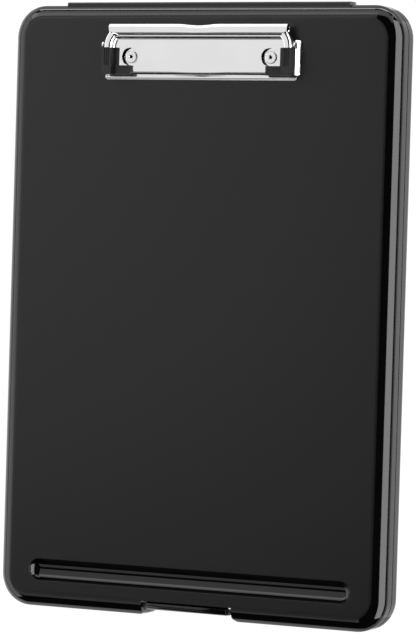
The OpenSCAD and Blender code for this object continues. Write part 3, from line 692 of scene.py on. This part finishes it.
class CLIPBOARD_OT_clip_jaw(bpy.types.Operator):
    """Models the clip's jaw: sloping lip, flat with access holes, side beads, rise and roll"""

    bl_idname = "clipboard.clip_jaw"
    bl_label = "Clip jaw"

    # End of the flat, and the height of the middle of its sheet
    flat_end, mid_z = 150.3, 24.6
    # How far the front lip lies below the flat: steep at its edge, then slight
    lip_fall = (
        (131.6, 1.3), (131.8, 1.02), (132.0, 0.74), (132.2, 0.47), (132.4, 0.27),
        (132.6, 0.17), (132.9, 0.12), (133.5, 0.07), (134.3, 0.0),
    )
    # The first row behind the lip
    lip_end = 134.8
    # Half the width of the rise, from the flat to the roll
    rise_half = ((150.3, 52.4), (153.4, 53.4), (154.5, 54.7), (156.0, 55.0))
    # The stepped rise and the roll: bends (turn, radius, steps) and straight runs
    rise_path = (
        (60, 2.0, 6), (-55, 0.8, 6), 0.35, (70, 0.5, 6), 1.09, (-67, 0.9, 6), 2.25,
        (-248, 1.9, 32),
    )
    # Where the rise goes over into the roll, and the height of the roll's middle
    rise_y, roll_z = 154.0, 26.5
    # Access holes: place, radius, and the square patch of cells that each is cut from
    hole_at, hole_r = (43.2, 141.0), 5.0
    hole_side, hole_cells = 11.0, 8
    # Rows of the flat between its middle and the holes, and the one outside them
    inner_rows, outer_row = 14, 50.4
    # Side beads: bend radius and steps, places across, top, and the free lower edge
    bend, bend_steps = 1.2, 6
    bead_in, bead_mid, bead_out, bead_top = 53.6, 55.6, 57.6, 28.6
    free_z = 24.2
    elbow_r, elbow_turn, elbow_steps = 10.0, 45.0, 9

    def stations_x(self):
        """Places across half of the flat at which the sheet has an edge."""
        start = self.hole_at[0] - self.hole_side / 2
        cell = self.hole_side / self.hole_cells
        inner = [start * i / self.inner_rows for i in range(self.inner_rows)]
        hole = [start + cell * i for i in range(self.hole_cells + 1)]
        return inner + hole + [self.outer_row, self.bead_in - self.bend]

    def stations_y(self):
        """Places along the jaw at which the sheet has an edge."""
        start = self.hole_at[1] - self.hole_side / 2
        cell = self.hole_side / self.hole_cells
        lip = [y for y, _ in self.lip_fall] + [self.lip_end]
        return lip + [start + cell * i for i in range(self.hole_cells + 1)]

    def cross_section(self, bm):
        """Draws the jaw's section from bead to bead at the front lip."""
        b = self.bend
        half = self.stations_x()
        stations = [-x for x in reversed(half)] + half[1:]
        wall = self.bead_top - b - self.free_z
        inner_wall = self.bead_top - b - (self.mid_z + b)
        top = (self.bead_out - self.bead_in) - 2 * b

        def quarter(offset, way):
            return offset, (0, way, 0), 90, self.bend_steps

        up, down = [(0, 0, wall / 2)] * 2, [(0, 0, -wall / 2)] * 2
        over = [quarter((b, 0, 0), 1)] + [(top / 2, 0, 0)] * 2 + [quarter((0, 0, -b), 1)]
        moves = up + over + [(0, 0, -inner_wall), quarter((b, 0, 0), -1)]
        moves += [(there - here, 0, 0) for here, there in zip(stations, stations[1:])]
        moves += [quarter((0, 0, b), -1), (0, 0, inner_wall)] + over + down
        chain(bm, (-self.bead_out, self.lip_fall[0][0], self.free_z), moves)
        return list(bm.edges)

    def cut_hole(self, bm, side):
        """Opens one round access hole in the flat."""
        x, y = side * self.hole_at[0], self.hole_at[1]
        half = self.hole_side / 2
        inside = [
            f for f in bm.faces
            if abs(f.calc_center_median().x / MM - x) < half
            and abs(f.calc_center_median().y / MM - y) < half
            and abs(f.calc_center_median().z / MM - self.mid_z) < 0.2
        ]
        border = [
            e for f in inside for e in f.edges
            if sum(other in inside for other in e.link_faces) == 1
        ]
        bmesh.ops.delete(bm, geom=inside, context="FACES")
        made = bmesh.ops.extrude_edge_only(bm, edges=border)["geom"]
        centre = point(x, y, self.mid_z)
        for vert in (g for g in made if isinstance(g, bmesh.types.BMVert)):
            vert.co = centre + (vert.co - centre).normalized() * self.hole_r * MM

    def execute(self, context):
        clip = context.scene.clipboard_clip
        bm = bmesh.new()
        row = self.cross_section(bm)
        stations = self.stations_y()
        for here, there in zip(stations, stations[1:]):
            row = push(bm, row, (0, there - here, 0))
        # The beads curve inwards behind the grips, and the flat goes straight on
        foot = (self.bead_in - self.bend - 0.01) * MM
        beads = [e for e in row if all(abs(v.co.x) > foot for v in e.verts)]
        flat = [e for e in row if e not in beads]
        for side in (-1, 1):
            mine = [e for e in beads if e.verts[0].co.x * side > 0]
            centre = (side * (self.bead_mid - self.elbow_r), stations[-1], 0)
            turn_edges(bm, mine, centre, (0, 0, side), self.elbow_turn, self.elbow_steps)
        row = push(bm, flat, (0, self.flat_end - stations[-1], 0))
        path = (self.flat_end, self.mid_z, 0)
        for move in self.rise_path:
            if isinstance(move, tuple):
                row, path = bend_on(bm, row, path, *move)
            else:
                row, path = run_on(bm, row, path, move)
        bmesh.ops.remove_doubles(bm, verts=bm.verts, dist=0.001 * MM)
        for side in (-1, 1):
            self.cut_hole(bm, side)
        self.shape_lip_and_roll(bm, clip)
        bmesh.ops.recalc_face_normals(bm, faces=bm.faces)
        shade_smooth(bm)
        piece = make_piece("clip_jaw_plate", bm, "jaw", "plated", ["clip_jaw"])
        give_thickness(piece, clip.steel / MM)
        soften_edges(piece, width=0.16, angle=40)
        return {"FINISHED"}

    def shape_lip_and_roll(self, bm, clip):
        """Folds the front lip, arches its middle, widens the rise and dips the roll."""
        arch, dip = clip.arch_width / 2, clip.dip_width / 2
        fold_y, flat_top = self.lip_fall[-1][0], 25
        # Before the step in the rise, only what lies below the beads' tops belongs to it
        step_y, below_beads = 153.7, 27.6
        # How far into the roll the dip has its full depth, and its share downwards
        dip_run, dip_drop = 4, 0.6
        for vert in bm.verts:
            x, y, z = vert.co.x, vert.co.y / MM, vert.co.z / MM
            if y < fold_y and abs(x) < self.bead_in * MM and z < flat_top:
                vert.co.z -= along_points(y, self.lip_fall) * MM
                if abs(x) < arch:
                    front = (fold_y - y) / (fold_y - self.lip_fall[0][0])
                    swell = math.cos(math.pi * x / (2 * arch)) ** 2
                    vert.co.z += clip.arch_rise * swell * front
            on_rise = y > self.flat_end + 0.01 and (y > step_y or z < below_beads)
            if on_rise and abs(abs(x) / MM - self.rise_half[0][1]) < 0.01:
                half = self.rise_half[-1][1]
                if y < self.rise_y or z > self.roll_z:
                    half = along_points(y, self.rise_half)
                vert.co.x = math.copysign(half * MM, x)
            if y > self.rise_y and abs(x) < dip:
                over = min(1.0, (y - self.rise_y) / dip_run)
                swell = math.cos(math.pi * x / (2 * dip)) ** 2
                vert.co.y -= clip.dip_depth * swell * over
                vert.co.z -= clip.dip_depth * dip_drop * swell * over


class CLIPBOARD_OT_springs(bpy.types.Operator):
    """Winds the two torsion springs of the clip from round wire"""

    bl_idname = "clipboard.springs"
    bl_label = "Clip springs"

    wire_r, coil_r, leg = 0.35, 1.85, 9.0
    pitch, turns, steps = 1.15, 1.5, 60
    # The clip's pivot, and the top of the base plate under the lower leg
    pivot_y, pivot_z, plate_z = 147.5, 25.8, FACE_Z + 0.8

    def wire_route(self):
        """Points of the wire from one leg's end to the other's, measured from the pivot."""
        lower = self.plate_z + self.wire_r - self.pivot_z
        route = [(0.0, -self.leg, lower)]
        for i in range(self.steps + 1):
            a = 2 * math.pi * self.turns * i / self.steps
            route.append((self.pitch * self.turns * i / self.steps,
                          self.coil_r * math.sin(a), -self.coil_r * math.cos(a)))
        route.append((self.pitch * self.turns, -self.leg, self.coil_r))
        return route

    def execute(self, context):
        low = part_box("clip_spring_right")[0] / MM
        start_x = low.x + self.wire_r
        route = self.wire_route()
        for name, side in (("left", -1), ("right", 1)):
            curve = bpy.data.curves.new("spring_wire", "CURVE")
            curve.dimensions = "3D"
            line = curve.splines.new("POLY")
            line.points.add(len(route) - 1)
            for spot, (x, y, z) in zip(line.points, route):
                at = point(side * (start_x + x), self.pivot_y + y, self.pivot_z + z)
                spot.co = (*at, 1.0)
            curve.bevel_depth = self.wire_r * MM
            curve.bevel_resolution = 3
            curve.use_fill_caps = True
            wire = bpy.data.objects.new("spring_wire", curve)
            bpy.context.scene.collection.objects.link(wire)
            context.view_layer.update()
            solid = wire.evaluated_get(context.evaluated_depsgraph_get()).to_mesh()
            bm = bmesh.new()
            bm.from_mesh(solid)
            bpy.data.objects.remove(wire)
            bmesh.ops.remove_doubles(bm, verts=bm.verts, dist=0.0005 * MM)
            bmesh.ops.recalc_face_normals(bm, faces=bm.faces)
            shade_smooth(bm)
            make_piece(
                "spring_coil_" + name, bm, "lid", "steel", ["clip_spring_" + name])
        return {"FINISHED"}


class CLIPBOARD_OT_grips(bpy.types.Operator):
    """Models the ribbed rubber grips on the jaw's front corners"""

    bl_idname = "clipboard.grips"
    bl_label = "Rubber corner grips"

    # Heights of the floors of the grooves between the ribs, and how much lower they go
    rib_floors, rib_extra = (26.65, 29.35), 0.25

    def execute(self, context):
        for name in ("left", "right"):
            bm = copy_of_node("corner_grip_" + name)
            for vert in bm.verts:
                if min(abs(vert.co.z / MM - floor) for floor in self.rib_floors) < 0.01:
                    vert.co.z -= self.rib_extra * MM
            crease(bm)
            piece = make_piece(
                "rubber_grip_" + name, bm, "jaw", "grip", ["corner_grip_" + name])
            soften_edges(piece, width=0.1, angle=30)
        return {"FINISHED"}


# ---- stage ----


def floor_finish(settings):
    """A pale floor that is white to the camera and in reflections, and keeps shadows."""
    mix = Recipe(bpy.data.materials.new("pale_floor"))
    path = mix.node("ShaderNodeLightPath")
    seen = mix.math(
        "ADD",
        mix.math("ADD", path.outputs["Is Camera Ray"], path.outputs["Is Glossy Ray"]),
        path.outputs["Is Transmission Ray"], clamp=True)
    own = mix.node(
        "ShaderNodeEmission",
        {"Color": grey(1.0), "Strength": mix.math("MULTIPLY", seen, settings.floor)})
    matt = mix.node("ShaderNodeBsdfDiffuse", {"Color": grey(0.18)})
    both = mix.node("ShaderNodeAddShader", {0: own.outputs[0], 1: matt.outputs[0]})
    mix.node("ShaderNodeOutputMaterial", {"Surface": both.outputs[0]})
    return mix.owner


def soft_box(name, at, aim, size, brightness):
    """A rectangular soft box that looks at a point, of a given brightness seen from it."""
    lamp = bpy.data.lights.new(name, "AREA")
    lamp.shape = "RECTANGLE"
    lamp.size, lamp.size_y = size
    lamp.energy = brightness * math.pi * size[0] * size[1]
    box = bpy.data.objects.new(name, lamp)
    box.location = at
    box.rotation_euler = (Vector(at) - Vector(aim)).to_track_quat("Z", "Y").to_euler()
    bpy.context.scene.collection.objects.link(box)


class CLIPBOARD_OT_stage(bpy.types.Operator):
    """Sets the camera, the pale floor and the soft studio light"""

    bl_idname = "clipboard.stage"
    bl_label = "Studio"

    # Half the floor's side, and its depth below the case, in metres
    floor_half, floor_drop = 6.0, 0.0003
    # Soft boxes: name, place, the point that it faces, size, and its brightness setting
    boxes = (
        ("light_bank", (-0.95, 0.95, 1.2), (-0.95, 0.95, 0.0), (1.3, 2.4), "bank"),
        ("side_box", (0.977, -0.05, 0.531), (0.12, -0.05, 0.016), (2.75, 0.69), "side"),
        ("back_wall", (-0.5, 1.55, 0.8), (-0.1, 0.1, 0.0), (2.4, 0.8), "wall"),
        ("front_bank", (-0.95, -1.05, 1.2), (-0.95, -1.05, 0.0), (1.3, 0.7), "front"),
        ("left_box", (-1.1, 0.0, 0.4), (-0.12, 0.0, 0.016), (2.4, 0.6), "left"),
        ("back_strip", (0.2, 1.6, 0.115), (0.2, 0.1, 0.1), (2.8, 0.17), "back"),
    )

    def execute(self, context):
        scene = context.scene
        settings = scene.clipboard_studio
        lens = bpy.data.cameras.new("camera")
        lens.sensor_width = 36.0
        lens.lens = FOCAL_PX * lens.sensor_width / PHOTO_LONG_SIDE
        lens.clip_start, lens.clip_end = 0.05, 50.0
        camera = bpy.data.objects.new("camera", lens)
        turn = Euler(CAMERA_TURN, "XYZ").to_matrix().transposed().to_4x4()
        camera.matrix_world = Matrix.Translation(CAMERA_AT) @ turn
        scene.collection.objects.link(camera)
        scene.camera = camera

        bm = bmesh.new()
        bmesh.ops.create_grid(bm, x_segments=1, y_segments=1, size=self.floor_half)
        bmesh.ops.translate(bm, verts=bm.verts, vec=(0, 0, -self.floor_drop))
        mesh = bpy.data.meshes.new("floor")
        bm.to_mesh(mesh)
        bm.free()
        mesh.materials.append(floor_finish(settings))
        floor = bpy.data.objects.new("floor", mesh)
        scene.collection.objects.link(floor)

        for name, at, aim, size, level in self.boxes:
            soft_box(name, at, aim, size, getattr(settings, level))

        scene.world = bpy.data.worlds.new("studio_room")
        room = Recipe(scene.world)
        light = room.node(
            "ShaderNodeBackground", {"Color": grey(1.0), "Strength": settings.room})
        room.node("ShaderNodeOutputWorld", {"Surface": light.outputs[0]})
        scene.view_settings.view_transform = "Standard"
        return {"FINISHED"}


class CLIPBOARD_PT_panel(bpy.types.Panel):
    """Lists the steps and settings of the clipboard box"""

    bl_idname = "CLIPBOARD_PT_panel"
    bl_label = "Clipboard box"
    bl_space_type = "VIEW_3D"
    bl_region_type = "UI"
    bl_category = "Clipboard box"

    def draw(self, context):
        layout = self.layout
        for step in STEPS:
            layout.operator(step.bl_idname)
        for group in ("clipboard_finish", "clipboard_clip", "clipboard_studio"):
            box = layout.box()
            settings = getattr(context.scene, group)
            for name in settings.__annotations__:
                box.prop(settings, name)


STEPS = (
    CLIPBOARD_OT_stage,
    CLIPBOARD_OT_case,
    CLIPBOARD_OT_hinge,
    CLIPBOARD_OT_latch,
    CLIPBOARD_OT_clip_plate,
    CLIPBOARD_OT_clip_jaw,
    CLIPBOARD_OT_springs,
    CLIPBOARD_OT_grips,
)
GROUPS = (
    ("clipboard_finish", ClipboardFinish),
    ("clipboard_clip", ClipboardClip),
    ("clipboard_studio", ClipboardStudio),
)


def register():
    """Registers the settings, the operators and the panel."""
    for name, group in GROUPS:
        bpy.utils.register_class(group)
        setattr(bpy.types.Scene, name, bpy.props.PointerProperty(type=group))
    for step in STEPS:
        bpy.utils.register_class(step)
    bpy.utils.register_class(CLIPBOARD_PT_panel)


def unregister():
    """Takes the panel, the operators and the settings away again."""
    bpy.utils.unregister_class(CLIPBOARD_PT_panel)
    for step in reversed(STEPS):
        bpy.utils.unregister_class(step)
    for name, group in reversed(GROUPS):
        delattr(bpy.types.Scene, name)
        bpy.utils.unregister_class(group)


def main():
    """Builds everything in order."""
    register()
    bpy.ops.clipboard.stage()
    bpy.ops.clipboard.case()
    bpy.ops.clipboard.hinge()
    bpy.ops.clipboard.latch()
    bpy.ops.clipboard.clip_plate()
    bpy.ops.clipboard.clip_jaw()
    bpy.ops.clipboard.springs()
    bpy.ops.clipboard.grips()
    bpy.context.view_layer.update()


if __name__ == "__main__":
    main()
